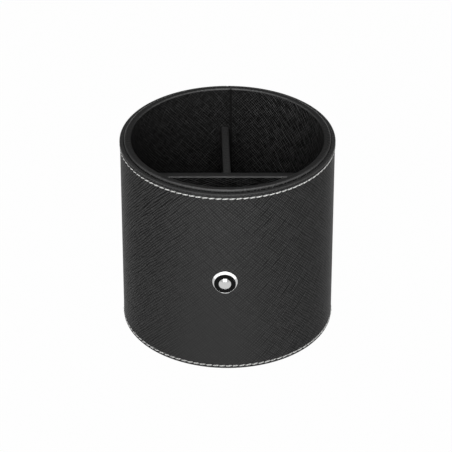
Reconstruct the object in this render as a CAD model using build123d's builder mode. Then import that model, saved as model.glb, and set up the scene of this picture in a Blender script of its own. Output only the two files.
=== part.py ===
from build123d import *
import os
from math import cos, pi, sin, sqrt

# A round leather desk cup: a stiffened, topstitched leather wrap around a lined board tube,
# with a T-shaped divider inside and a riveted badge on the front. Millimetres, +Z up, front at -Y,
# origin at the middle of the base on the desk.

# Overall sizes
body_diameter = 100.0
rim_height = 97.0
wrap_drop = 1.2
hem_gap = 0.2

# Wall layers, from the outside in
wrap_leather = 0.8
wrap_card = 0.9
tube_wall = 2.4
lining = 0.9
glue_line = 0.05

# Turned edges of the wrap and of the lining
turned_leather = 0.4
turn_in_length = 10.0
lip_length = 3.4
lip_bulge = 0.3
hem_bulge = 0.1
lip_rounding = 0.9
turned_rounding = 0.3
rim_turn_length = 12.0
rim_rounding = 0.9
seam_gap = 0.25
lining_seam_offset = 1.55

# Topstitching
stitch_pitch = 3.1
stitch_length = 2.65
thread_diameter = 0.75
thread_sink = 0.1
top_stitch_inset = 2.3
bottom_stitch_inset = 1.6
stitch_end_share = 0.9

# Base and floor
pad_thickness = 1.0
pad_inset = 0.4
base_thickness = 3.0
floor_thickness = 0.9

# Dividers
divider_drop = 20.9
divider_leather = 0.75
cross_core = 2.8
rear_core = 2.0
rear_near_offset = -0.2
rear_far_offset = -1.3
tongue_depth = 1.2
divider_rounding = 0.7

# Badge on the front
badge_height = 48.9
badge_offset = -1.15
bezel_diameter = 12.1
bezel_proud = 1.6
bezel_crown_height = 1.25
bezel_crown_radius = 4.0
bezel_back = 0.4
inlay_diameter = 9.9
inlay_drop = 0.05
rivet_head_diameter = 5.6
rivet_head_height = 1.1
rivet_head_edge = 0.2
rivet_shank_diameter = 2.4
rivet_tail_diameter = 3.4
rivet_tail_height = 0.5
washer_diameter = 7.0
washer_thickness = 0.5
seat_depth = 0.05
pocket_clearance = 0.25

# Fits
fit_gap = 0.1
overrun = 5.0

# Radii of the wall layers
wrap_outer = body_diameter / 2
wrap_skin_inner = wrap_outer - wrap_leather
card_outer = wrap_skin_inner - glue_line
card_inner = card_outer - wrap_card
turned_outer = card_inner + turned_leather
card_skived_inner = turned_outer + glue_line
tube_outer = card_inner - glue_line
tube_inner = tube_outer - tube_wall
rim_leg_inner = tube_outer - lining
tube_peeled_outer = rim_leg_inner - glue_line
lining_outer = tube_inner - glue_line
lining_inner = lining_outer - lining

# Heights
wrap_top = rim_height - wrap_drop
wrap_bottom = hem_gap
base_bottom = pad_thickness + glue_line
base_top = base_bottom + base_thickness
floor_bottom = base_top + glue_line
rim_underside = rim_height - lining
tube_top = rim_underside - glue_line
rim_turn_end = rim_height - rim_turn_length
divider_top = rim_height - divider_drop
divider_core_top = divider_top - divider_leather - glue_line
top_stitch_height = wrap_top - top_stitch_inset
bottom_stitch_height = wrap_bottom + bottom_stitch_inset

# Divider walls
divider_reach = lining_inner - glue_line
cross_half = cross_core / 2 + glue_line + divider_leather
rear_half = rear_core / 2 + glue_line + divider_leather
rear_run = rear_near_offset - rear_far_offset
rear_start = cross_half + glue_line + rear_half * abs(rear_run) / divider_reach
groove_floor = cross_core / 2 - tongue_depth
tongue_end = groove_floor + glue_line

# The rear wall leans off the middle on its way to the back: a plane across its run, and one along it
rear_across = (divider_reach, rear_run, 0)
rear_forward = (rear_run, -divider_reach, 0)
rear_plane = Plane((rear_near_offset, 0, 0), x_dir=rear_across, z_dir=rear_forward)
rear_side = Plane((rear_near_offset, 0, 0), x_dir=rear_forward, z_dir=rear_across)

# Stitches
thread_radius = thread_diameter / 2
stitch_ring = wrap_outer - thread_sink
stitch_count = round(2 * pi * stitch_ring / stitch_pitch)

# Badge stations, measured outwards from the cup's axis
bezel_radius = bezel_diameter / 2
bezel_bore = inlay_diameter / 2 + glue_line
washer_radius = washer_diameter / 2
shank_radius = rivet_shank_diameter / 2
rivet_hole = shank_radius + glue_line
badge_seat = sqrt(wrap_outer**2 - bezel_radius**2) - seat_depth
bezel_front = wrap_outer + bezel_proud
well_floor = badge_seat + bezel_back
inlay_front = bezel_front - inlay_drop
washer_front = sqrt(card_inner**2 - washer_radius**2) - glue_line
washer_rear = washer_front - washer_thickness
rivet_end = washer_rear - rivet_tail_height
pocket_floor = rivet_end - pocket_clearance

# The badge's own planes: it faces outwards a little beside the front; its section holds radius and station
badge_turn = badge_offset / wrap_outer
badge_outward = (sin(badge_turn), -cos(badge_turn), 0)
badge_across = (cos(badge_turn), sin(badge_turn), 0)
badge_plane = Plane((0, 0, badge_height), x_dir=badge_across, z_dir=badge_outward)
badge_section = Plane((0, 0, badge_height), x_dir=badge_across, z_dir=(0, 0, -1))
badge_axis = Axis((0, 0, badge_height), badge_outward)

corner = (Align.MIN, Align.MIN)
upright = (Align.CENTER, Align.CENTER, Align.MIN)


def ring_section(inner, outer, low, high, mode=Mode.ADD):
    """Rectangle of a turned section, from its inner to its outer radius and its low to its high end."""
    with Locations((inner, low)):
        Rectangle(outer - inner, high - low, align=corner, mode=mode)


def back_seam(offset, inner, outer):
    """Open butt seam through a layer at the back, the full height of the cup."""
    with Locations((offset, (inner + outer) / 2, rim_height / 2)):
        Box(seam_gap, outer - inner + overrun, rim_height + overrun, mode=Mode.SUBTRACT)


def rivet_bore():
    """Hole for the rivet's shank through the front wall."""
    with Locations(badge_plane.offset(tube_inner)):
        Cylinder(rivet_hole, wrap_outer - tube_inner + overrun, align=upright, mode=Mode.SUBTRACT)


# Outer leather: one strip, its long edges turned over the card, butted at the back
with BuildPart() as outer_leather:
    with BuildSketch(Plane.XZ) as wrap_section:
        with BuildLine():
            Polyline(
                (card_inner, wrap_bottom),
                (wrap_outer + hem_bulge, wrap_bottom),
                (wrap_outer, wrap_bottom + lip_length),
                (wrap_outer, wrap_top - lip_length),
                (wrap_outer + lip_bulge, wrap_top),
                (card_inner, wrap_top),
                close=True,
            )
        make_face()
        corners = wrap_section.vertices().sort_by(Axis.X)
        fillet(corners[-2:], radius=lip_rounding)
        fillet(corners[:2], radius=turned_rounding)
        ring_section(
            turned_outer,
            wrap_skin_inner,
            wrap_bottom + wrap_leather,
            wrap_top - wrap_leather,
            mode=Mode.SUBTRACT,
        )
        ring_section(
            tube_inner,
            wrap_skin_inner,
            wrap_bottom + turn_in_length,
            wrap_top - turn_in_length,
            mode=Mode.SUBTRACT,
        )
    revolve(axis=Axis.Z)
    with BuildSketch(Plane.XZ):
        with Locations((stitch_ring, top_stitch_height), (stitch_ring, bottom_stitch_height)):
            Circle(thread_radius + glue_line)
    revolve(axis=Axis.Z, mode=Mode.SUBTRACT)
    with BuildSketch(badge_plane.offset(badge_seat)):
        Circle(bezel_radius + fit_gap)
    extrude(amount=overrun, mode=Mode.SUBTRACT)
    rivet_bore()
    back_seam(0, card_inner, wrap_outer)

# Wrap card: stiffener of the wrap, thinned where the leather turns in behind it
with BuildPart() as wrap_board:
    with BuildSketch(Plane.XZ):
        card_low = wrap_bottom + wrap_leather + glue_line
        card_high = wrap_top - wrap_leather - glue_line
        ring_section(card_skived_inner, card_outer, card_low, card_high)
        ring_section(
            card_inner,
            card_outer,
            wrap_bottom + turn_in_length + glue_line,
            wrap_top - turn_in_length - glue_line,
        )
    revolve(axis=Axis.Z)
    rivet_bore()
    back_seam(0, card_inner, card_outer)

# One stitch, lying along Y, and the two rows of them around the wrap
with BuildPart() as stitch:
    Cylinder(thread_radius, stitch_length, rotation=(90, 0, 0))
    fillet(stitch.edges().filter_by(GeomType.CIRCLE), radius=thread_radius * stitch_end_share)

with BuildPart() as top_stitching:
    with Locations((0, 0, top_stitch_height)):
        with PolarLocations(stitch_ring, stitch_count):
            add(stitch.part)

with BuildPart() as bottom_stitching:
    with Locations((0, 0, bottom_stitch_height)):
        with PolarLocations(stitch_ring, stitch_count):
            add(stitch.part)

# Inner tube: carries the cup, peeled back at the top for the lining, pocketed for the washer
with BuildPart() as inner_tube:
    with BuildSketch(Plane.XZ):
        ring_section(tube_inner, tube_peeled_outer, floor_bottom, tube_top)
        ring_section(tube_inner, tube_outer, floor_bottom, rim_turn_end - glue_line)
    revolve(axis=Axis.Z)
    with BuildSketch(badge_plane.offset(pocket_floor)):
        Circle(washer_radius + pocket_clearance)
    extrude(amount=overrun, mode=Mode.SUBTRACT)

# Lining: up the inside of the tube, over its top as the rim, and down its outside
with BuildPart() as lining_leather:
    with BuildSketch(Plane.XZ) as lining_section:
        ring_section(lining_inner, tube_outer, rim_turn_end, rim_height)
        fillet(lining_section.vertices().group_by(Axis.Y)[-1], radius=rim_rounding)
        ring_section(lining_inner, lining_outer, floor_bottom, rim_turn_end)
        ring_section(lining_outer, rim_leg_inner, rim_turn_end, rim_underside, mode=Mode.SUBTRACT)
    revolve(axis=Axis.Z)
    back_seam(lining_seam_offset, lining_inner, tube_outer)

# Base disc under the tube, and the pad that meets the desk
with BuildPart() as base_board:
    with BuildSketch(Plane.XY.offset(base_bottom)):
        Circle(tube_outer)
    extrude(amount=base_thickness)

with BuildPart() as base_pad:
    with BuildSketch(Plane.XY):
        Circle(tube_outer - pad_inset)
    extrude(amount=pad_thickness)

# Cross divider: board core with a groove for the rear wall, and leather folded over it
with BuildPart() as cross_divider_board:
    with BuildSketch(Plane.YZ):
        ring_section(-cross_core / 2, cross_core / 2, floor_bottom, divider_core_top)
    extrude(amount=divider_reach, both=True)
    Cylinder(divider_reach, rim_height, align=upright, mode=Mode.INTERSECT)
    with BuildSketch(rear_plane.offset(-groove_floor)):
        with Locations((0, floor_bottom)):
            Rectangle(rear_core + glue_line * 2, rim_height, align=(Align.CENTER, Align.MIN))
    extrude(amount=-tongue_depth - overrun, mode=Mode.SUBTRACT)

with BuildPart() as cross_divider_leather:
    with BuildSketch(Plane.YZ) as cross_section:
        ring_section(-cross_half, cross_half, floor_bottom, divider_top)
        fillet(cross_section.vertices().group_by(Axis.Y)[-1], radius=divider_rounding)
        inside = cross_half - divider_leather
        ring_section(-inside, inside, floor_bottom, divider_top - divider_leather, mode=Mode.SUBTRACT)
    extrude(amount=divider_reach, both=True)
    Cylinder(divider_reach, rim_height, align=upright, mode=Mode.INTERSECT)
    with BuildSketch(rear_plane):
        with Locations((0, floor_bottom)):
            Rectangle(
                rear_core + glue_line * 2,
                divider_top - divider_leather - floor_bottom,
                align=(Align.CENTER, Align.MIN),
            )
    extrude(amount=-cross_half - overrun, mode=Mode.SUBTRACT)

# Rear divider: board core with its tongue in the cross wall, and leather folded over it
with BuildPart() as rear_divider_board:
    with BuildSketch(rear_plane.offset(-tongue_end)):
        with Locations((0, floor_bottom)):
            Rectangle(rear_core, divider_core_top - floor_bottom, align=(Align.CENTER, Align.MIN))
    extrude(amount=-divider_reach)
    Cylinder(divider_reach, rim_height, align=upright, mode=Mode.INTERSECT)

with BuildPart() as rear_divider_leather:
    with BuildSketch(rear_plane.offset(-rear_start)) as rear_section:
        ring_section(-rear_half, rear_half, floor_bottom, divider_top)
        fillet(rear_section.vertices().group_by(Axis.Y)[-1], radius=divider_rounding)
        inside = rear_half - divider_leather
        ring_section(-inside, inside, floor_bottom, divider_top - divider_leather, mode=Mode.SUBTRACT)
    extrude(amount=-divider_reach)
    Cylinder(divider_reach, rim_height, align=upright, mode=Mode.INTERSECT)

# Floor pads: one in each compartment, cut to its walls
pad_near = cross_half + fit_gap
pad_side = rear_half + fit_gap

with BuildPart() as front_floor_pad:
    with BuildSketch(Plane.XY.offset(floor_bottom)):
        Circle(lining_inner - fit_gap)
        with Locations((0, -pad_near)):
            Rectangle(body_diameter, body_diameter, align=(Align.CENTER, Align.MAX), mode=Mode.INTERSECT)
    extrude(amount=floor_thickness)

with BuildPart() as left_floor_pad:
    with BuildSketch(Plane.XY.offset(floor_bottom)):
        Circle(lining_inner - fit_gap)
        with Locations((0, pad_near)):
            Rectangle(body_diameter, body_diameter, align=(Align.CENTER, Align.MIN), mode=Mode.INTERSECT)
    extrude(amount=floor_thickness)
    split(bisect_by=rear_side.offset(-pad_side), keep=Keep.BOTTOM)

with BuildPart() as right_floor_pad:
    with BuildSketch(Plane.XY.offset(floor_bottom)):
        Circle(lining_inner - fit_gap)
        with Locations((0, pad_near)):
            Rectangle(body_diameter, body_diameter, align=(Align.CENTER, Align.MIN), mode=Mode.INTERSECT)
    extrude(amount=floor_thickness)
    split(bisect_by=rear_side.offset(pad_side), keep=Keep.TOP)

# Badge: a metal cup with an inlay, both held by a domed rivet closed over a washer behind the wrap
with BuildPart() as emblem_bezel:
    with BuildSketch(badge_section):
        with BuildLine():
            cup = Polyline(
                (bezel_bore, bezel_front),
                (bezel_bore, well_floor),
                (rivet_hole, well_floor),
                (rivet_hole, badge_seat),
                (bezel_radius, badge_seat),
                (bezel_radius, bezel_front - bezel_crown_height),
            )
            RadiusArc(cup @ 1, cup @ 0, -bezel_crown_radius)
        make_face()
    revolve(axis=badge_axis)

with BuildPart() as emblem_inlay:
    with BuildSketch(badge_section):
        ring_section(rivet_hole, inlay_diameter / 2, well_floor, inlay_front)
    revolve(axis=badge_axis)

with BuildPart() as emblem_rivet:
    with BuildSketch(badge_section):
        with BuildLine():
            head_radius = rivet_head_diameter / 2
            dome_start = inlay_front + rivet_head_edge
            dome_rise = rivet_head_height - rivet_head_edge
            dome_radius = (head_radius**2 + dome_rise**2) / (dome_rise * 2)
            outline = Polyline(
                (0, inlay_front + rivet_head_height),
                (0, rivet_end),
                (rivet_tail_diameter / 2, rivet_end),
                (rivet_tail_diameter / 2, washer_rear),
                (shank_radius, washer_rear),
                (shank_radius, inlay_front),
                (head_radius, inlay_front),
                (head_radius, dome_start),
            )
            RadiusArc(outline @ 1, outline @ 0, -dome_radius)
        make_face()
    revolve(axis=badge_axis)

with BuildPart() as emblem_washer:
    with BuildSketch(badge_section):
        ring_section(rivet_hole, washer_radius, washer_rear, washer_front)
    revolve(axis=badge_axis)

# Every piece goes to its own file
pieces = {
    "outer_leather": outer_leather,
    "wrap_board": wrap_board,
    "top_stitching": top_stitching,
    "bottom_stitching": bottom_stitching,
    "inner_tube": inner_tube,
    "lining_leather": lining_leather,
    "base_board": base_board,
    "base_pad": base_pad,
    "cross_divider_board": cross_divider_board,
    "cross_divider_leather": cross_divider_leather,
    "rear_divider_board": rear_divider_board,
    "rear_divider_leather": rear_divider_leather,
    "front_floor_pad": front_floor_pad,
    "left_floor_pad": left_floor_pad,
    "right_floor_pad": right_floor_pad,
    "emblem_bezel": emblem_bezel,
    "emblem_inlay": emblem_inlay,
    "emblem_rivet": emblem_rivet,
    "emblem_washer": emblem_washer,
}
os.makedirs("parts", exist_ok=True)
for name, piece in pieces.items():
    piece.part.label = name
    export_step(piece.part, f"parts/{name}.step")
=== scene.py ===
import math
from collections import namedtuple

import bmesh
import bpy
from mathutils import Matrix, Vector


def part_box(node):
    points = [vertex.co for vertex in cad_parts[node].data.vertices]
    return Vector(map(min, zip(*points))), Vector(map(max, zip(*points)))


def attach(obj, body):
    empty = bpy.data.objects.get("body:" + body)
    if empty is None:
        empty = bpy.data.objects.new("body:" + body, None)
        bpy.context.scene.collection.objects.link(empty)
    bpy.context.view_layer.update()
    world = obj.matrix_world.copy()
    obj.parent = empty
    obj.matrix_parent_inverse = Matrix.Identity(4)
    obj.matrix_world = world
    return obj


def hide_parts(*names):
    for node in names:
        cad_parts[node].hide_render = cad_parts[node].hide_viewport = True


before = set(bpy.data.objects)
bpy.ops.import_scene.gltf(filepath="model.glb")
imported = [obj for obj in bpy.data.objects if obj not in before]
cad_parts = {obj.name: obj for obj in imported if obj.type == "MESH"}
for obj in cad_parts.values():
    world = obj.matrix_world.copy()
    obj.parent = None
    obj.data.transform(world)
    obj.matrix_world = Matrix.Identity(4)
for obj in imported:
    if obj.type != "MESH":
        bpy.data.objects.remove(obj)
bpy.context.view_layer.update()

# A round leather desk cup, dressed over its frame. Metres, front at -Y, standing on a floor at height zero.
MM = 0.001


def middle(node):
    """Centre of a frame node."""
    low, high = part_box(node)
    return (low + high) / 2


# Places and sizes taken from the frame
wrap_low, wrap_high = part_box("outer_leather")
lining_low, lining_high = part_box("lining_leather")
cross_low, cross_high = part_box("cross_divider_leather")
bezel_low, bezel_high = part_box("emblem_bezel")
inlay_low, inlay_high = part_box("emblem_inlay")
tube_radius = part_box("inner_tube")[1].x
card_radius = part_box("wrap_board")[1].x
top_row = middle("top_stitching").z
bottom_row = middle("bottom_stitching").z
badge_place = middle("emblem_bezel")

# Wrap
body_radius = 50.0 * MM
glue_line = 0.05 * MM
weld_distance = glue_line / 50
same_level = glue_line / 10
micrometre_digits = 6
turn_in_length = 10.0 * MM
lip_rounding = 0.45 * MM
hem_rounding = 0.9 * MM
fold_rounding = 0.3 * MM
lip_swell = wrap_high.x - body_radius
hem_swell = 0.08 * MM
swell_start = 0.3 * MM
swell_blend = 1.2 * MM
valley_depth = 0.25 * MM
valley_width = 0.45 * MM
needle_depth = 0.25 * MM
needle_width = 0.2 * MM
seam_depth = 0.35 * MM
row_steps = (0.0, 0.15 * MM, 0.3 * MM, 0.5 * MM, 0.8 * MM)
row_margin = 1.3 * MM
badge_ring_step = 0.5 * MM
badge_rings = 16
plain_heights = (8 * MM, 16 * MM, 24 * MM, 32 * MM, 65 * MM, 73 * MM, 81 * MM, 88 * MM)
skin_radius = card_radius + glue_line

# Rim ring of the lining
ring_width = 3.35 * MM
lining_thickness = 0.9 * MM
rim_turn_length = 12.0 * MM
rim_rounding = 0.9 * MM
brow_rounding = 1.2 * MM
lining_seam_offset = 1.55 * MM
lining_seam_depth = 0.28 * MM
ring_radius = lining_high.x
lining_inner = ring_radius - ring_width
rim = lining_high.z

# Topstitching
stitch_pitch = 3.1 * MM
stitch_length = 2.85 * MM
stitch_slant = math.radians(8)
stitch_dip = 0.2 * MM
stitch_shares = (-1, -0.85, -0.6, -0.3, 0, 0.3, 0.6, 0.85, 1)
stitch_end_share = 0.6
dip_power = 3
taper_power = 8
thread_sides = 6
ply_groove_share = 0.88
ply_twist = math.radians(40)
columns_per_stitch = 6
stitch_count = round(2 * math.pi * body_radius / stitch_pitch)
column_angle = 2 * math.pi / (stitch_count * columns_per_stitch)
stitch_angle = column_angle * columns_per_stitch
top_needle_angle = math.radians(0.74)

# Dividers and pads
divider_leather = 0.75 * MM
divider_rounding = 0.7 * MM
rear_near_offset = -0.2 * MM
rear_far_offset = -1.3 * MM
rear_half = 1.8 * MM
rear_reach = lining_inner - glue_line
rear_turn = math.atan2(rear_near_offset - rear_far_offset, rear_reach)
rear_start = cross_high.y + glue_line + rear_half * math.tan(rear_turn)
pad_rounding = 0.3 * MM
pad_sides = 160

# Badge, its stations measured outwards from the cup's axis
badge_sides = 96
bezel_proud = 1.6 * MM
bezel_crown_height = 1.25 * MM
bezel_crown_radius = 4.0 * MM
bezel_lip_rounding = 0.1 * MM
bezel_back = 0.4 * MM
seat_depth = 0.05 * MM
seat_margin = 0.4 * MM
inlay_drop = 0.05 * MM
inlay_crown = 0.12 * MM
inlay_crown_power = 4
inlay_shares = (1, 0.97, 0.9, 0.75, 0.6, 0.45)
rivet_head_radius = 2.8 * MM
rivet_head_height = 1.1 * MM
rivet_head_edge = 0.2 * MM
rivet_dome_end = 88
rivet_hole = 1.25 * MM
rivet_length = 5.6 * MM
bezel_radius = (bezel_high.z - bezel_low.z) / 2
inlay_radius = (inlay_high.z - inlay_low.z) / 2
badge_seat = math.sqrt(body_radius**2 - bezel_radius**2) - seat_depth
bezel_front = body_radius + bezel_proud
well_floor = badge_seat + bezel_back
inlay_front = bezel_front - inlay_drop
badge_turn = math.atan2(badge_place.x, -badge_place.y)

# Angles round the cup are measured from the front towards +X
wrap_turn = top_needle_angle % column_angle
wrap_seam_angle = math.pi + wrap_turn
lining_seam_angle = math.pi - math.asin(lining_seam_offset / lining_inner)


def smooth(share):
    """Soft step from 0 to 1."""
    share = min(max(share, 0.0), 1.0)
    return share * share * (3 - 2 * share)


def arc(centre, radius, start, end, steps=6):
    """Points of an arc in a section of radius and height, with angles in degrees from outwards."""
    turns = [math.radians(start + (end - start) * step / steps) for step in range(steps + 1)]
    return [(centre[0] + radius * math.cos(turn), centre[1] + radius * math.sin(turn)) for turn in turns]


def angle_of(place):
    """Angle of a place round the cup, from the front towards +X."""
    return math.atan2(place.x, -place.y)


def apart(first, second):
    """Smallest angle between two directions."""
    return abs((first - second + math.pi) % (2 * math.pi) - math.pi)


# Modelling

def pick(piece, test):
    """In edit mode, selects the vertices whose place passes the test, and what lies between them."""
    mesh = bmesh.from_edit_mesh(piece.data)
    mesh.select_mode = {"VERT"}
    for vertex in mesh.verts:
        vertex.select = test(vertex.co)
    mesh.select_flush_mode()
    bmesh.update_edit_mesh(piece.data)


def begin(name):
    """Takes up the primitive just added: names it, puts its place into its mesh and opens it for editing."""
    piece = bpy.context.object
    piece.name = name
    bpy.ops.object.transform_apply(location=True, rotation=True, scale=True)
    bpy.ops.object.mode_set(mode="EDIT")
    return piece


def turned(name, section, sides, turn=0.0, solid=False):
    """A circle extruded through a section of radius and height, closed on itself or, where solid, capped."""
    bpy.ops.object.select_all(action="DESELECT")
    radius, height = section[0]
    bpy.ops.mesh.primitive_circle_add(
        vertices=sides,
        radius=radius,
        fill_type="NGON" if solid else "NOTHING",
        location=(0, 0, height),
        rotation=(0, 0, turn),
    )
    piece = begin(name)
    for next_radius, next_height in section[1:] + ([] if solid else section[:1]):
        bpy.ops.mesh.extrude_region_move(TRANSFORM_OT_translate={"value": (0, 0, next_height - height)})
        share = next_radius / radius
        bpy.ops.transform.resize(value=(share, share, 1), center_override=(0, 0, 0))
        radius, height = next_radius, next_height
    return piece


def press(piece, depth, test):
    """Pushes the picked places of an upright wall in towards the axis."""
    pick(piece, test)
    share = 1 - depth / body_radius
    bpy.ops.transform.resize(value=(share, share, 1), center_override=(0, 0, 0))


def close(piece, material, node, crease=40):
    """Merges and faces the mesh outwards, smooths it, and puts the piece in its node's place."""
    bpy.ops.mesh.select_all(action="SELECT")
    bpy.ops.mesh.remove_doubles(threshold=weld_distance)
    bpy.ops.mesh.normals_make_consistent(inside=False)
    bpy.ops.object.mode_set(mode="OBJECT")
    bpy.ops.object.shade_smooth_by_angle(angle=math.radians(crease))
    piece.data.materials.append(material)
    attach(piece, "root")
    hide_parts(node)
    return piece


# Materials

def linear(code):
    """An sRGB hex colour as linear red, green, blue and alpha."""
    parts = [int(code[start : start + 2], 16) / 255 for start in (1, 3, 5)]
    return [part / 12.92 if part <= 0.04045 else ((part + 0.055) / 1.055) ** 2.4 for part in parts] + [1.0]


def add_node(tree, kind, inputs=None, **settings):
    """Adds a node with its settings, and sets or links its inputs."""
    new = tree.nodes.new(kind)
    for name, value in settings.items():
        setattr(new, name, value)
    for socket, value in (inputs or {}).items():
        if isinstance(value, bpy.types.NodeSocket):
            tree.links.new(value, new.inputs[socket])
        else:
            new.inputs[socket].default_value = value
    return new


def new_material(name):
    """An empty material, its node tree and its object coordinates."""
    material = bpy.data.materials.new(name)
    material.use_nodes = True
    tree = material.node_tree
    tree.nodes.clear()
    place = add_node(tree, "ShaderNodeTexCoord").outputs["Object"]
    return material, tree, place


def dress(tree, **sockets):
    """Ends a material in one surface shader."""
    inputs = {name.replace("_", " "): value for name, value in sockets.items()}
    surface = add_node(tree, "ShaderNodeBsdfPrincipled", inputs)
    add_node(tree, "ShaderNodeOutputMaterial", {"Surface": surface.outputs[0]})


def wave_scale(spacing):
    """Scale at which the bands of a wave texture lie one spacing apart."""
    return math.pi / 10 / spacing


def around(tree, place, seam):
    """Surface coordinates on an upright wall: round it from its seam, and up it and over its rim."""
    turn = (0, 0, math.pi * 1.5 - seam)
    ahead = add_node(tree, "ShaderNodeMapping", {"Vector": place, "Rotation": turn}).outputs[0]
    part = add_node(tree, "ShaderNodeSeparateXYZ", {0: ahead}).outputs
    level = add_node(tree, "ShaderNodeCombineXYZ", {"X": part["X"], "Y": part["Y"]}).outputs[0]
    reach = add_node(tree, "ShaderNodeVectorMath", {0: level}, operation="LENGTH").outputs["Value"]
    angle = add_node(tree, "ShaderNodeMath", {0: part["Y"], 1: part["X"]}, operation="ARCTAN2").outputs[0]
    along = add_node(tree, "ShaderNodeMath", {0: angle, 1: body_radius}, operation="MULTIPLY").outputs[0]
    rise = add_node(tree, "ShaderNodeMath", {0: part["Z"], 1: reach}, operation="ADD").outputs[0]
    return add_node(tree, "ShaderNodeCombineXYZ", {"X": along, "Y": rise}).outputs[0]


def flat(tree, place, along, across):
    """Surface coordinates on a flat wall, measured along two directions that fold over its top."""
    first = add_node(tree, "ShaderNodeVectorMath", {0: place, 1: along}, operation="DOT_PRODUCT")
    second = add_node(tree, "ShaderNodeVectorMath", {0: place, 1: across}, operation="DOT_PRODUCT")
    inputs = {"X": first.outputs["Value"], "Y": second.outputs["Value"]}
    return add_node(tree, "ShaderNodeCombineXYZ", inputs).outputs[0]


# Calf leather, plate-embossed with two crossing sets of fine lines and closed with a thin clear finish. On
# the wrap the lines are grooves, their shade painted in dark, so the black breaks into long diagonal
# hatching under a dull satin sheen. Inside they are ridges, their glints painted in as pale strokes on
# black. The edges are burnished: one even tone with a fine pebble grain, and a narrow bright line along
# each rounding. Lines and pebbles are drawn a little coarser than on such leather, as coarse as they need
# to show.
line_spacing = 1.1 * MM
line_slant = math.radians(45)
line_detail = 1.0
line_detail_scale = 1.5
pebble_low, pebble_high = 0.35, 0.65
edge_blend = 0.6 * MM
hide_roughness = 0.4
edge_roughness = 0.3
hide_gloss = 0.012

# Where on the wave a line starts and where it is full, where on the noise it breaks off and where it is
# clear, how faint it gets, the lines' mean strength, their height and length, how far they wander, and the
# share that the crossing set has
Emboss = namedtuple("Emboss", "starts fills breaks clears faintest mean height length wander cross")
grooves = Emboss(
    starts=0.1,
    fills=0.7,
    breaks=0.3,
    clears=0.6,
    faintest=0.6,
    mean=0.57,
    height=0.1 * MM,
    length=6.0 * MM,
    wander=4.5,
    cross=0.82,
)
ridges = Emboss(
    starts=0.64,
    fills=1.0,
    breaks=0.33,
    clears=0.6,
    faintest=0.1,
    mean=0.09,
    height=0.1 * MM,
    length=4.0 * MM,
    wander=3.4,
    cross=0.65,
)


def embossed_lines(tree, diagonal, emboss, direction, share):
    """Strength of one set of lines, which breaks up into streaks drawn out along it."""
    draw = line_spacing / emboss.length
    stretch = (1, draw, 1) if direction == "X" else (draw, 1, 1)
    drawn = add_node(tree, "ShaderNodeMapping", {"Vector": diagonal, "Scale": stretch}).outputs[0]
    wave = add_node(
        tree,
        "ShaderNodeTexWave",
        {
            "Vector": drawn,
            "Scale": wave_scale(line_spacing),
            "Distortion": emboss.wander,
            "Detail": line_detail,
            "Detail Scale": line_detail_scale,
        },
        bands_direction=direction,
    ).outputs["Fac"]
    steep = add_node(
        tree, "ShaderNodeMapRange", {"Value": wave, "From Min": emboss.starts, "From Max": emboss.fills}
    ).outputs[0]
    streak = add_node(
        tree, "ShaderNodeTexNoise", {"Vector": drawn, "Scale": 1 / line_spacing}
    ).outputs["Fac"]
    clear = add_node(
        tree,
        "ShaderNodeMapRange",
        {"Value": streak, "From Min": emboss.breaks, "From Max": emboss.clears, "To Min": emboss.faintest},
    ).outputs[0]
    cut = add_node(tree, "ShaderNodeMath", {0: steep, 1: clear}, operation="MULTIPLY").outputs[0]
    return add_node(tree, "ShaderNodeMath", {0: cut, 1: share}, operation="MULTIPLY").outputs[0]


def embossed_leather(
    name,
    layout,
    emboss,
    ground,
    line,
    edge=None,
    edge_from=None,
    edge_gloss=0.5,
    relief=None,
    lead=None,
    cross=None,
):
    """Leather in the colours of its ground, lines and edge; the lines' colour is painted shade in grooves
    and painted glints on ridges. The last three say where the lines stand out.
    """
    material, tree, place = new_material(name)
    surface = layout(tree, place)
    turn = (0, 0, line_slant)
    diagonal = add_node(tree, "ShaderNodeMapping", {"Vector": surface, "Rotation": turn}).outputs[0]
    leading = embossed_lines(tree, diagonal, emboss, "X", lead(tree, place) if lead else 1.0)
    crossing = embossed_lines(tree, diagonal, emboss, "Y", cross(tree, place) if cross else emboss.cross)
    full = add_node(tree, "ShaderNodeMath", {0: leading, 1: crossing}, operation="MAXIMUM").outputs[0]
    kept = relief(tree, place) if relief else 1.0
    height = add_node(
        tree, "ShaderNodeMix", {"Factor": kept, "A": emboss.mean, "B": full}, data_type="FLOAT"
    ).outputs["Result"]
    # The lines' colour is painted light: shade in the wrap's grooves, glints on the ridges inside.
    colour = add_node(
        tree,
        "ShaderNodeMix",
        {"Factor": height, "A": linear(ground), "B": linear(line)},
        data_type="RGBA",
    ).outputs["Result"]
    rough, gloss = hide_roughness, hide_gloss
    if edge:
        above = add_node(tree, "ShaderNodeSeparateXYZ", {0: place}).outputs["Z"]
        burnish = add_node(
            tree,
            "ShaderNodeMapRange",
            {"Value": above, "From Min": edge_from, "From Max": edge_from + edge_blend},
        ).outputs[0]
        colour = add_node(
            tree, "ShaderNodeMix", {"Factor": burnish, "A": colour, "B": linear(edge)}, data_type="RGBA"
        ).outputs["Result"]
        rough = add_node(
            tree,
            "ShaderNodeMapRange",
            {"Value": burnish, "To Min": hide_roughness, "To Max": edge_roughness},
        ).outputs[0]
        gloss = add_node(
            tree, "ShaderNodeMapRange", {"Value": burnish, "To Min": hide_gloss, "To Max": edge_gloss}
        ).outputs[0]
        grain = add_node(
            tree, "ShaderNodeTexNoise", {"Vector": surface, "Scale": 1 / line_spacing}
        ).outputs["Fac"]
        pebble = add_node(
            tree, "ShaderNodeMapRange", {"Value": grain, "From Min": pebble_low, "From Max": pebble_high}
        ).outputs[0]
        height = add_node(
            tree, "ShaderNodeMix", {"Factor": burnish, "A": height, "B": pebble}, data_type="FLOAT"
        ).outputs["Result"]
    bump = add_node(
        tree,
        "ShaderNodeBump",
        {"Distance": emboss.height, "Height": height},
        invert=emboss is grooves,
    )
    dress(tree, Base_Color=colour, Roughness=rough, Specular_IOR_Level=gloss, Normal=bump.outputs[0])
    return material


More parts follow.
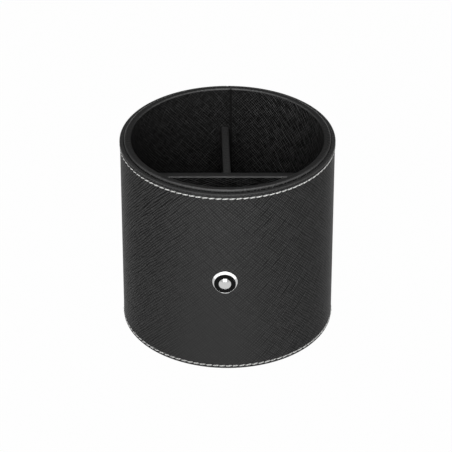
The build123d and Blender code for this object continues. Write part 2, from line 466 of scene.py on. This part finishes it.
def left_to_right(tree, place, left, right, first, last):
    """A share that is the first number up to the left place, and the last one from the right place on."""
    side = add_node(tree, "ShaderNodeSeparateXYZ", {0: place}).outputs["X"]
    inputs = {"Value": side, "From Min": left, "From Max": right, "To Min": first, "To Max": last}
    return add_node(tree, "ShaderNodeMapRange", inputs).outputs[0]


# In an oval in the low middle of the wrap's front the emboss is faint and the leather lighter: a painted
# sheen. Away from it, and most on the left, the emboss is full and its painted groove shade darker. Its
# centre and half sizes, the shares of them where the emboss starts to show and where it is full, and how
# far it stands out
sheen_across, sheen_up = -9.0 * MM, -20.0 * MM
sheen_width, sheen_height = 28.0 * MM, 90.0 * MM
sheen_start_share, sheen_end_share = 0.5, 1.5
sheen_relief, left_relief, right_relief = 0.1, 0.8, 0.65
relief_left, relief_right = -25.0 * MM, 10.0 * MM


def relief_with_painted_sheen(tree, place):
    """How far the wrap's emboss stands out, and with it the painted light: least in the oval of painted
    sheen, most on the left, where the painted shade is darkest.
    """
    inputs = {
        "Vector": place,
        "Location": (-sheen_across / sheen_width, 0, -sheen_up / sheen_height),
        "Scale": (1 / sheen_width, 0, 1 / sheen_height),
    }
    away = add_node(tree, "ShaderNodeMapping", inputs).outputs[0]
    reach = add_node(tree, "ShaderNodeVectorMath", {0: away}, operation="LENGTH").outputs["Value"]
    most = left_to_right(tree, place, relief_left, relief_right, left_relief, right_relief)
    return add_node(
        tree,
        "ShaderNodeMapRange",
        {
            "Value": reach,
            "From Min": sheen_start_share,
            "From Max": sheen_end_share,
            "To Min": sheen_relief,
            "To Max": most,
        },
    ).outputs[0]


# The wrap's leading lines are weakest along an upright line a little left of the front's middle
lead_middle = -5.0 * MM
lead_start, lead_end = 4.0 * MM, 22.0 * MM
middle_lead, side_lead = 0.76, 1.0


def leads_at_sides(tree, place):
    """How strong the wrap's leading lines are: full at the sides, and weaker in the middle of the front."""
    side = add_node(tree, "ShaderNodeSeparateXYZ", {0: place}).outputs["X"]
    away = add_node(tree, "ShaderNodeMath", {0: side, 1: lead_middle}, operation="SUBTRACT").outputs[0]
    reach = add_node(tree, "ShaderNodeMath", {0: away}, operation="ABSOLUTE").outputs[0]
    inputs = {"From Min": lead_start, "From Max": lead_end, "To Min": middle_lead, "To Max": side_lead}
    return add_node(tree, "ShaderNodeMapRange", {"Value": reach, **inputs}).outputs[0]


# The lining's emboss and its painted glints change between two places right of its seam, with more relief
# and brighter painted glints on the right, as light from the left would give, and keep clear of the seam
# itself
change_start, change_end = 5.0 * MM, 25.0 * MM
left_lead, right_lead = 0.7, 1.0
left_cross, right_cross = 0.65, 0.4
left_relief_and_glints, right_relief_and_glints = 0.6, 1.0
seam_margin, seam_gap = 0.8 * MM, 0.4 * MM


def leads_right(tree, place):
    """How strong the lining's leading lines are: full on the right, near the crossing ones on the left."""
    return left_to_right(tree, place, change_start, change_end, left_lead, right_lead)


def crosses_left(tree, place):
    """How strong the lining's crossing lines are: weaker on the right, where the leading ones are full."""
    return left_to_right(tree, place, change_start, change_end, left_cross, right_cross)


def relief_and_glints_right(tree, place):
    """How far the lining's emboss stands out and how bright its painted glints are: more on the right, as
    light from the left would give, and not at all along its glued seam.
    """
    share = left_to_right(tree, place, change_start, change_end, left_relief_and_glints, right_relief_and_glints)
    surface = around(tree, place, lining_seam_angle)
    along = add_node(tree, "ShaderNodeSeparateXYZ", {0: surface}).outputs["X"]
    away = add_node(tree, "ShaderNodeMath", {0: along}, operation="ABSOLUTE").outputs[0]
    seam = math.pi * body_radius
    inputs = {"From Min": seam - seam_margin, "From Max": seam - seam_gap, "To Min": 1.0, "To Max": 0.0}
    clear = add_node(tree, "ShaderNodeMapRange", {"Value": away, **inputs}).outputs[0]
    return add_node(tree, "ShaderNodeMath", {0: share, 1: clear}, operation="MULTIPLY").outputs[0]


# Polyester sewing thread, three plies twisted: off-white, matt, with a shadow in each turn of the twist.
# Towards the bottom of the cup the thread is painted darker: painted shade on the lower row.
twist_spacing = 0.9 * MM
twist_slant = math.radians(35)
twist_wander = 0.6
ply_depth = 0.05 * MM
ply_strength = 0.5
thread_roughness = 0.75
thread_sheen = 0.2
painted_shade_share = 0.75


def sewing_thread(name):
    material, tree, place = new_material(name)
    surface = around(tree, place, wrap_seam_angle)
    turn = (0, 0, twist_slant)
    slanted = add_node(tree, "ShaderNodeMapping", {"Vector": surface, "Rotation": turn}).outputs[0]
    plies = add_node(
        tree,
        "ShaderNodeTexWave",
        {"Vector": slanted, "Scale": wave_scale(twist_spacing), "Distortion": twist_wander},
    ).outputs["Fac"]
    colour = add_node(
        tree,
        "ShaderNodeMix",
        {"Factor": plies, "A": linear("#d6d6d4"), "B": linear("#fafaf8")},
        data_type="RGBA",
    ).outputs["Result"]
    # Painted shade: the thread darkens towards the bottom of the cup.
    above = add_node(tree, "ShaderNodeSeparateXYZ", {0: place}).outputs["Z"]
    unshaded_share = add_node(
        tree, "ShaderNodeMapRange", {"Value": above, "From Max": rim / 2, "To Min": painted_shade_share}
    ).outputs[0]
    shaded_colour = add_node(tree, "ShaderNodeVectorMath", {0: colour, "Scale": unshaded_share}, operation="SCALE").outputs[0]
    relief = {"Strength": ply_strength, "Distance": ply_depth, "Height": plies}
    bump = add_node(tree, "ShaderNodeBump", relief).outputs[0]
    dress(tree, Base_Color=shaded_colour, Roughness=thread_roughness, Sheen_Weight=thread_sheen, Normal=bump)
    return material


# Brass, polished and plated with bright rhodium: a clean white mirror with hairline polishing marks. Steel,
# plated with zinc: a duller grey metal, rougher, with finer marks. Real marks are too fine to show, so these
# are drawn coarser.
mark_detail = 4.0
smoothest_share, roughest_share = 0.7, 1.5


def plated_metal(name, colour, roughness, scratch_spacing):
    material, tree, place = new_material(name)
    inputs = {"Vector": place, "Scale": 1 / scratch_spacing, "Detail": mark_detail}
    marks = add_node(tree, "ShaderNodeTexNoise", inputs).outputs["Fac"]
    low, high = roughness * smoothest_share, roughness * roughest_share
    rough = add_node(tree, "ShaderNodeMapRange", {"Value": marks, "To Min": low, "To Max": high}).outputs[0]
    dress(tree, Base_Color=linear(colour), Metallic=1.0, Roughness=rough)
    return material


# Cast resin, poured and polished: deep black under a hard gloss, with a faint orange-peel waviness.
peel_spacing = 1.5 * MM
peel_depth = 0.02 * MM
peel_strength = 0.15
resin_smoothest, resin_roughest = 0.08, 0.16
resin_gloss = 0.1


def gloss_resin(name):
    material, tree, place = new_material(name)
    waves = add_node(
        tree, "ShaderNodeTexNoise", {"Vector": place, "Scale": 1 / peel_spacing}
    ).outputs["Fac"]
    relief = {"Strength": peel_strength, "Distance": peel_depth, "Height": waves}
    bump = add_node(tree, "ShaderNodeBump", relief).outputs[0]
    rough = add_node(
        tree, "ShaderNodeMapRange", {"Value": waves, "To Min": resin_smoothest, "To Max": resin_roughest}
    ).outputs[0]
    dress(tree, Base_Color=linear("#040404"), Roughness=rough, Specular_IOR_Level=resin_gloss, Normal=bump)
    return material


# Pressed wool felt and pressed greyboard: matted fibres that swallow the light, flecked light and dark. Real
# fibres are too fine to show, so these are drawn coarser.
fibre_detail = 6.0
fibre_raggedness = 0.7
fibre_depth = 0.2 * MM
fibre_strength = 0.7
fibre_roughness = 0.95
fibre_gloss = 0.15


def pressed_fibre(name, dark, pale, fibre_size):
    material, tree, place = new_material(name)
    fibres = add_node(
        tree,
        "ShaderNodeTexNoise",
        {
            "Vector": place,
            "Scale": 1 / fibre_size,
            "Detail": fibre_detail,
            "Roughness": fibre_raggedness,
        },
    ).outputs["Fac"]
    colour = add_node(
        tree,
        "ShaderNodeMix",
        {"Factor": fibres, "A": linear(dark), "B": linear(pale)},
        data_type="RGBA",
    ).outputs["Result"]
    relief = {"Strength": fibre_strength, "Distance": fibre_depth, "Height": fibres}
    bump = add_node(tree, "ShaderNodeBump", relief).outputs[0]
    dress(tree, Base_Color=colour, Roughness=fibre_roughness, Specular_IOR_Level=fibre_gloss, Normal=bump)
    return material


# On the cross wall the hide is stretched along the wall, so its lines lie flatter and closer up it
cross_along, cross_up = (0.6, 0, 0), (0, 1.5, 1.5)

# The wrap's near-black line colour is painted groove shade.
wrap_calf = embossed_leather(
    "embossed_calf_wrap",
    lambda tree, place: around(tree, place, wrap_seam_angle),
    grooves,
    ground="#5f5f5f",
    line="#040404",
    edge="#343434",
    edge_from=wrap_high.z - edge_blend,
    edge_gloss=0.3,
    relief=relief_with_painted_sheen,
    lead=leads_at_sides,
)
# Here and in the three materials below, the pale line colour is painted glints on the ridges.
lining_calf = embossed_leather(
    "embossed_calf_lining",
    lambda tree, place: around(tree, place, lining_seam_angle),
    ridges,
    ground="#080808",
    line="#626262",
    edge="#1c1c1c",
    edge_from=rim - rim_rounding,
    relief=relief_and_glints_right,
    lead=leads_right,
    cross=crosses_left,
)
cross_calf = embossed_leather(
    "embossed_calf_cross_wall",
    lambda tree, place: flat(tree, place, cross_along, cross_up),
    ridges,
    ground="#080808",
    line="#5a5a5a",
    edge="#272727",
    edge_from=cross_high.z - divider_rounding,
)
# The rear wall's top edge is painted lighter, with less gloss, than the cross wall's: a lit copy of the same
# leather, painted light.
rear_calf = embossed_leather(
    "embossed_calf_rear_wall",
    lambda tree, place: flat(tree, place, (0, 1, 0), (1, 0, 1)),
    ridges,
    ground="#080808",
    line="#5a5a5a",
    edge="#383838",
    edge_from=cross_high.z - divider_rounding,
    edge_gloss=0.2,
)
floor_calf = embossed_leather(
    "embossed_calf_floor",
    lambda tree, place: flat(tree, place, (1, 0, 0), (0, 1, 0)),
    ridges,
    ground="#080808",
    line="#5a5a5a",
)
thread = sewing_thread("twisted_polyester_thread")
rhodium = plated_metal("polished_rhodium_plate", "#c8c8c8", roughness=0.08, scratch_spacing=0.4 * MM)
steel = plated_metal("zinc_plated_steel", "#a9abad", roughness=0.35, scratch_spacing=0.2 * MM)
resin = gloss_resin("polished_black_resin")
felt = pressed_fibre("pressed_wool_felt", dark="#0e0e0e", pale="#2a2a2a", fibre_size=0.6 * MM)
greyboard = pressed_fibre("pressed_greyboard", dark="#6f6b64", pale="#9a958c", fibre_size=0.8 * MM)


# Outer leather: turned over its card at both edges, drawn in along the stitch rows, butted at the back

def wrap_radius(height):
    """Outer radius of the wrap: a straight wall with a valley at each stitch row and swollen edges."""
    lip = lip_swell * smooth((height - top_row + swell_start) / swell_blend)
    hem = hem_swell * smooth((bottom_row + swell_start - height) / swell_blend)
    valleys = sum(math.exp(-(((height - row) / valley_width) ** 2)) for row in (top_row, bottom_row))
    return body_radius + lip + hem - valley_depth * valleys


def wrap_heights():
    """Heights of the wall's rings: close at the stitch rows and round the badge, wide elsewhere."""
    lip = [top_row + step * side for step in row_steps for side in (-1, 1)] + [top_row - row_margin]
    hem = [bottom_row + step for step in row_steps] + [bottom_row - step for step in row_steps[:4]]
    badge = [badge_place.z + ring * badge_ring_step for ring in range(-badge_rings, badge_rings + 1)]
    return sorted({*lip, *hem, *badge, bottom_row + row_margin, *plain_heights})


def on_outer_face(place):
    """Whether a place of the wrap lies on its outer face."""
    return place.xy.length > skin_radius + fold_rounding


def at_needle(place, row, phase):
    """Whether a place of the wrap is where the needle went in, in a stitch row that starts at an angle."""
    beside = apart(angle_of(place) % stitch_angle, phase % stitch_angle) % stitch_angle
    return on_outer_face(place) and abs(place.z - row) < needle_width and beside < column_angle / 4


def at_wrap_seam(place):
    """Whether a place of the wrap lies in the butt seam of its outer face."""
    return on_outer_face(place) and apart(angle_of(place), wrap_seam_angle) < column_angle / 2


def under_badge(place):
    """Whether a place of the wrap lies under the badge, clear of the bezel's rim."""
    reach = math.hypot(place.x - badge_place.x, place.z - badge_place.z)
    return on_outer_face(place) and place.y < 0 and reach < bezel_radius - seat_margin


def outer_wrap():
    top, bottom = wrap_high.z, wrap_low.z
    turn_in_radius = tube_radius + glue_line
    lip_centre = (body_radius + lip_swell - lip_rounding, top - lip_rounding)
    hem_centre = (body_radius + hem_swell - hem_rounding, bottom + hem_rounding)
    top_fold = (turn_in_radius + fold_rounding, top - fold_rounding)
    bottom_fold = (turn_in_radius + fold_rounding, bottom + fold_rounding)
    section = arc(hem_centre, hem_rounding, -90, 0)
    section += [(wrap_radius(height), height) for height in wrap_heights()]
    section += arc(lip_centre, lip_rounding, 0, 90)
    section += arc(top_fold, fold_rounding, 90, 180, steps=3)
    section += [(turn_in_radius, top - turn_in_length), (skin_radius, top - turn_in_length)]
    section += [(skin_radius, bottom + turn_in_length), (turn_in_radius, bottom + turn_in_length)]
    section += arc(bottom_fold, fold_rounding, 180, 270, steps=3)
    piece = turned("outer_wrap", section, stitch_count * columns_per_stitch, wrap_turn)
    for row, phase in ((top_row, top_needle_angle), (bottom_row, top_needle_angle + stitch_angle / 2)):
        press(piece, needle_depth, lambda place: at_needle(place, row, phase))
    press(piece, seam_depth, at_wrap_seam)
    # Under the badge the wrap is pressed flat, just clear of the bezel's back
    pick(piece, under_badge)
    bpy.ops.transform.resize(value=(1, 0, 1), center_override=(0, bezel_high.y + glue_line, 0))
    return close(piece, wrap_calf, "outer_leather", crease=50)


# Lining: up the inside of the tube, over its top as the rim ring and down behind the wrap

def at_lining_seam(place):
    """Whether a place of the lining lies in its butt seam."""
    return apart(angle_of(place), lining_seam_angle) < column_angle / 2


def lining_skin():
    inner_corner = (lining_inner + rim_rounding, rim - rim_rounding)
    outer_corner = (ring_radius - brow_rounding, rim - brow_rounding)
    leg_end = rim - rim_turn_length
    section = [(lining_inner, lining_low.z), (lining_inner, rim / 2)]
    section += arc(inner_corner, rim_rounding, 180, 90)
    section += arc(outer_corner, brow_rounding, 90, 0)
    section += [(ring_radius, leg_end), (ring_radius - lining_thickness, leg_end)]
    section += [(ring_radius - lining_thickness, rim - lining_thickness)]
    section += [(lining_inner + lining_thickness, rim - lining_thickness)]
    section += [(lining_inner + lining_thickness, lining_low.z)]
    piece = turned("lining_skin", section, stitch_count * columns_per_stitch, lining_seam_angle - math.pi)
    inside = lining_inner + lining_thickness / 2
    press(piece, -lining_seam_depth, lambda place: at_lining_seam(place) and place.xy.length < inside)
    pick(piece, lambda place: at_lining_seam(place) and place.z > rim - rim_rounding / 2)
    bpy.ops.transform.translate(value=(0, 0, -lining_seam_depth))
    return close(piece, lining_calf, "lining_leather")


# Dividers: leather folded over a board, its top edges rounded

def divider_cover(name, low, high, across):
    """An upright wall, open below, with its two long top edges rounded."""
    bpy.ops.object.select_all(action="DESELECT")
    bpy.ops.mesh.primitive_cube_add(size=1, location=(low + high) / 2, scale=high - low)
    piece = begin(name)
    pick(piece, lambda place: place.z < low.z + glue_line)
    bpy.ops.mesh.delete(type="ONLY_FACE")
    for side in (low[across], high[across]):
        pick(piece, lambda place: place.z > high.z - glue_line and abs(place[across] - side) < glue_line)
        bpy.ops.mesh.bevel(offset=divider_rounding, segments=5, affect="EDGES")
    return piece


def folded(piece):
    """Gives an open skin the leather's thickness, inwards."""
    bpy.ops.mesh.select_all(action="SELECT")
    bpy.ops.mesh.normals_make_consistent(inside=False)
    bpy.ops.object.mode_set(mode="OBJECT")
    wall = piece.modifiers.new("leather", "SOLIDIFY")
    wall.thickness = divider_leather
    wall.offset = -1
    bpy.ops.object.modifier_apply(modifier=wall.name)
    bpy.ops.object.mode_set(mode="EDIT")


def cross_cover():
    piece = divider_cover("cross_cover", cross_low, cross_high, across=1)
    folded(piece)
    return close(piece, cross_calf, "cross_divider_leather")


def settle(piece, turn, place):
    """Turns a piece made about the origin and moves it to its place."""
    bpy.ops.object.mode_set(mode="OBJECT")
    piece.rotation_euler = turn
    piece.location = place
    bpy.ops.object.transform_apply(location=True, rotation=True, scale=True)
    bpy.ops.object.mode_set(mode="EDIT")


def rear_cover():
    """The rear wall's near end is coped, so that its top runs onto the cross wall's rounded edge."""
    low = Vector((-rear_half, rear_start, cross_low.z))
    high = Vector((rear_half, rear_reach, cross_high.z))
    piece = divider_cover("rear_cover", low, high, across=0)
    shoulder = high.z - divider_rounding
    levels = {
        round(vertex.co.z, micrometre_digits)
        for vertex in bmesh.from_edit_mesh(piece.data).verts
        if vertex.co.z > shoulder + glue_line
    }
    for level in sorted(levels):
        pick(piece, lambda place: abs(place.z - level) < same_level and place.y < low.y + glue_line)
        reach = math.sqrt(max(divider_rounding**2 - (level - shoulder) ** 2, 0)) - divider_rounding
        bpy.ops.transform.translate(value=(0, reach, 0))
    settle(piece, (0, 0, rear_turn), (rear_near_offset, 0, 0))
    folded(piece)
    return close(piece, rear_calf, "rear_divider_leather")


# Pads: a disc cut to its compartment, its upper edge softened

def pad(name, node, radius, cuts, material):
    low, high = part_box(node)
    bpy.ops.object.select_all(action="DESELECT")
    bpy.ops.mesh.primitive_circle_add(
        vertices=pad_sides, radius=radius, fill_type="NGON", location=(0, 0, low.z)
    )
    piece = begin(name)
    for place, outward in cuts:
        bpy.ops.mesh.select_all(action="SELECT")
        bpy.ops.mesh.bisect(plane_co=place, plane_no=outward, clear_outer=True)
    bpy.ops.mesh.select_all(action="SELECT")
    bpy.ops.mesh.extrude_region_move(TRANSFORM_OT_translate={"value": (0, 0, high.z - low.z)})
    bpy.ops.mesh.bevel(offset=pad_rounding, segments=3, affect="EDGES")
    return close(piece, material, node)


def floor_pads():
    front, left, right = (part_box(f"{side}_floor_pad") for side in ("front", "left", "right"))
    radius = lining_inner - 2 * glue_line
    behind, ahead = Vector((0, 1, 0)), Vector((0, -1, 0))
    beside = Vector((math.cos(rear_turn), math.sin(rear_turn), 0))
    wall = Vector((rear_near_offset, 0, 0))
    clear = beside * (rear_half + 2 * glue_line)
    pad("front_floor", "front_floor_pad", radius, [(front[1], behind)], floor_calf)
    left_cuts = [(left[0], ahead), (wall - clear, beside)]
    pad("left_floor", "left_floor_pad", radius, left_cuts, floor_calf)
    right_cuts = [(right[0], ahead), (wall + clear, -beside)]
    pad("right_floor", "right_floor_pad", radius, right_cuts, floor_calf)


# Topstitching: one stitch of three twisted plies that dips into its needle holes, repeated round the wrap

def stitch_row(name, node, angle):
    low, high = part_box(node)
    height = (low.z + high.z) / 2
    thick = (high.z - low.z) / 2
    ring = high.x - thick
    stations = [
        (
            share * stitch_length / 2,
            ring - stitch_dip * abs(share) ** dip_power,
            max(1 - abs(share) ** taper_power, stitch_end_share),
        )
        for share in stitch_shares
    ]
    bpy.ops.object.select_all(action="DESELECT")
    along, out, girth = stations[0]
    centre = (along, -out, height)
    bpy.ops.mesh.primitive_circle_add(
        vertices=thread_sides,
        radius=thick * girth,
        fill_type="NGON",
        location=centre,
        rotation=(0, math.radians(90), 0),
    )
    piece = begin(name)

    def between_plies(place):
        """Whether a corner of the thread lies between two plies, which is every second one."""
        spoke = math.atan2(place.z - height, place.y + out) / (2 * math.pi / thread_sides)
        return round(spoke) % 2 == 0

    pick(piece, between_plies)
    bpy.ops.transform.resize(value=(1, ply_groove_share, ply_groove_share), center_override=centre)
    bpy.ops.mesh.select_all(action="SELECT")
    for next_along, next_out, next_girth in stations[1:]:
        bpy.ops.mesh.extrude_region_move(
            TRANSFORM_OT_translate={"value": (next_along - along, out - next_out, 0)}
        )
        centre = (next_along, -next_out, height)
        share = next_girth / girth
        bpy.ops.transform.resize(value=(1, share, share), center_override=centre)
        bpy.ops.transform.rotate(value=ply_twist, orient_axis="X", center_override=centre)
        along, out, girth = next_along, next_out, next_girth
    bpy.ops.mesh.select_all(action="SELECT")
    bpy.ops.transform.rotate(value=stitch_slant, orient_axis="Y", center_override=(0, -ring, height))
    bpy.ops.transform.rotate(value=-angle, orient_axis="Z", center_override=(0, 0, height))
    share = (stitch_count - 1) / stitch_count
    bpy.ops.mesh.spin(
        steps=stitch_count - 1, dupli=True, angle=2 * math.pi * share, center=(0, 0, 0), axis=(0, 0, 1)
    )
    return close(piece, thread, node, crease=75)


# Badge: each piece turned upright, then faced out of the cup's front

def face_out(piece):
    settle(piece, (math.radians(90), 0, badge_turn), (0, 0, badge_place.z))


def crown_arc(start, end, radius):
    """A convex arc of a section between two points, bulging to the right of the way from start to end."""
    start, end = Vector(start), Vector(end)
    chord = end - start
    inward = Vector((-chord.y, chord.x)).normalized()
    centre = (start + end) / 2 + inward * math.sqrt(radius**2 - chord.length_squared / 4)
    first, last = (
        math.degrees(math.atan2(point.y - centre.y, point.x - centre.x)) for point in (start, end)
    )
    return arc(centre, radius, first, last)


def badge_bezel():
    bore = inlay_radius + glue_line
    shoulder = (bezel_radius, bezel_front - bezel_crown_height)
    brow = (bore + bezel_lip_rounding, bezel_front)
    section = [(rivet_hole, badge_seat), (bezel_radius, badge_seat)]
    section += crown_arc(shoulder, brow, bezel_crown_radius)
    lip_centre = (bore + bezel_lip_rounding, bezel_front - bezel_lip_rounding)
    section += arc(lip_centre, bezel_lip_rounding, 90, 180, steps=3)
    section += [(bore, well_floor), (rivet_hole, well_floor)]
    piece = turned("badge_bezel", section, badge_sides)
    face_out(piece)
    return close(piece, rhodium, "emblem_bezel")


def badge_inlay():
    section = [(rivet_hole, well_floor), (inlay_radius, well_floor)]
    for share in inlay_shares:
        section += [(inlay_radius * share, inlay_front - inlay_crown * share**inlay_crown_power)]
    section += [(rivet_hole, inlay_front)]
    piece = turned("badge_inlay", section, badge_sides)
    face_out(piece)
    return close(piece, resin, "emblem_inlay")


def badge_rivet():
    tip = inlay_front + rivet_head_height
    rise = rivet_head_height - rivet_head_edge
    dome = (rivet_head_radius**2 + rise**2) / (2 * rise)
    start = math.degrees(math.acos(rivet_head_radius / dome))
    shank = rivet_hole - glue_line
    section = [(shank, tip - rivet_length), (shank, inlay_front), (rivet_head_radius, inlay_front)]
    section += arc((0, tip - dome), dome, start, rivet_dome_end, steps=8)
    piece = turned("badge_rivet", section, badge_sides, solid=True)
    face_out(piece)
    return close(piece, rhodium, "emblem_rivet")


outer_wrap()
lining_skin()
cross_cover()
rear_cover()
floor_pads()
pad("base_felt", "base_pad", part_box("base_pad")[1].x, [], felt)
stitch_row("top_stitches", "top_stitching", top_needle_angle + stitch_angle / 2)
stitch_row("bottom_stitches", "bottom_stitching", top_needle_angle)
badge_bezel()
badge_inlay()
badge_rivet()

# The boards and the washer keep their frame shapes
boards = ("wrap_board", "inner_tube", "base_board", "cross_divider_board", "rear_divider_board")
for node in (*boards, "emblem_washer"):
    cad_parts[node].data.materials.clear()
    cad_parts[node].data.materials.append(greyboard if node in boards else steel)


# Stage: a white floor that keeps a soft shadow, a white room that is dark behind the cup, and soft lamps
floor_size = 6.0
floor_glow_share = 0.985
room_light = 0.15
backdrop_start, backdrop_end = 0.3, 0.7
front_backdrop, back_backdrop = 0.7, 0.12


def shows(tree):
    """1 on the rays that show the stage, straight, in a reflection or through glass, and otherwise 0."""
    path = add_node(tree, "ShaderNodeLightPath").outputs
    seen = add_node(
        tree, "ShaderNodeMath", {0: path["Is Camera Ray"], 1: path["Is Glossy Ray"]}, operation="MAXIMUM"
    ).outputs[0]
    return add_node(
        tree, "ShaderNodeMath", {0: seen, 1: path["Is Transmission Ray"]}, operation="MAXIMUM"
    ).outputs[0]


def stage_floor():
    bpy.ops.object.select_all(action="DESELECT")
    bpy.ops.mesh.primitive_plane_add(size=floor_size)
    floor = bpy.context.object
    floor.name = "floor"
    material = bpy.data.materials.new("white_paper_sweep")
    material.use_nodes = True
    tree = material.node_tree
    tree.nodes.clear()
    paper = add_node(tree, "ShaderNodeBsdfDiffuse", {"Color": linear("#c0c0c0")})
    glow = add_node(tree, "ShaderNodeEmission", {"Color": linear("#ffffff"), "Strength": 1.0})
    share = add_node(
        tree, "ShaderNodeMath", {0: shows(tree), 1: floor_glow_share}, operation="MULTIPLY"
    ).outputs[0]
    mixed = add_node(tree, "ShaderNodeMixShader", {0: share, 1: paper.outputs[0], 2: glow.outputs[0]})
    add_node(tree, "ShaderNodeOutputMaterial", {"Surface": mixed.outputs[0]})
    floor.data.materials.append(material)


def stage_world():
    world = bpy.data.worlds.new("studio")
    bpy.context.scene.world = world
    world.use_nodes = True
    tree = world.node_tree
    tree.nodes.clear()
    direction = add_node(tree, "ShaderNodeTexCoord").outputs["Generated"]
    behind = add_node(tree, "ShaderNodeSeparateXYZ", {0: direction}).outputs["Y"]
    backdrop = add_node(
        tree,
        "ShaderNodeMapRange",
        {
            "Value": behind,
            "From Min": backdrop_start,
            "From Max": backdrop_end,
            "To Min": front_backdrop,
            "To Max": back_backdrop,
        },
    ).outputs[0]
    level = add_node(
        tree, "ShaderNodeMix", {"Factor": shows(tree), "A": room_light, "B": backdrop}, data_type="FLOAT"
    ).outputs["Result"]
    sky = add_node(tree, "ShaderNodeBackground", {"Color": linear("#ffffff"), "Strength": level})
    add_node(tree, "ShaderNodeOutputWorld", {"Surface": sky.outputs[0]})


def softbox(name, place, size, watts, card=False, fill=False):
    """A soft lamp aimed at the cup. A card only shows in reflections, and a fill never does."""
    lamp = bpy.data.lights.new(name, "AREA")
    lamp.shape = "RECTANGLE"
    lamp.size, lamp.size_y = size
    lamp.energy = watts
    holder = bpy.data.objects.new(name, lamp)
    bpy.context.scene.collection.objects.link(holder)
    holder.location = place
    holder.visible_diffuse = not card
    holder.visible_glossy = not fill
    aim = Vector((0, 0, rim / 2)) - Vector(place)
    holder.rotation_euler = aim.to_track_quat("-Z", "Y").to_euler()


stage_floor()
stage_world()
softbox("front_softbox", place=(-0.06, -1.5, 0.75), size=(1.2, 1.2), watts=18.0)
softbox("top_softbox", place=(0.0, -0.2, 1.0), size=(0.6, 0.6), watts=2.0)
softbox("top_card", place=(0.0, -0.35, 1.05), size=(2.4, 0.9), watts=10.0, card=True)
softbox("left_card", place=(-1.0, -0.2, 0.4), size=(1.0, 0.8), watts=3.0, card=True)
softbox("right_card", place=(1.0, -0.2, 0.4), size=(1.0, 0.8), watts=3.0, card=True)
softbox("back_fill", place=(0.0, 1.5, 0.16), size=(1.8, 0.3), watts=14.0, fill=True)

# Camera: fitted to the photograph's outline of the cup. Blender takes the sensor's width in millimetres.
image_width = 452
sensor_width = 36.0
focal_pixels = 2600.8
axis_pixel = 227.5
camera_back = 1042.8 * MM
camera_rise = 707.6 * MM
camera_pitch = math.radians(32.33)
near_clip, far_clip = 0.01, 20.0

eye = bpy.data.cameras.new("camera")
camera = bpy.data.objects.new("camera", eye)
bpy.context.scene.collection.objects.link(camera)
camera.location = (0, -camera_back, camera_rise)
camera.rotation_euler = (math.radians(90) - camera_pitch, 0, 0)
eye.sensor_width = sensor_width
eye.lens = focal_pixels / image_width * sensor_width
eye.shift_x = (image_width / 2 - axis_pixel) / image_width
eye.clip_start, eye.clip_end = near_clip, far_clip
bpy.context.scene.camera = camera
bpy.context.scene.view_settings.view_transform = "Standard"
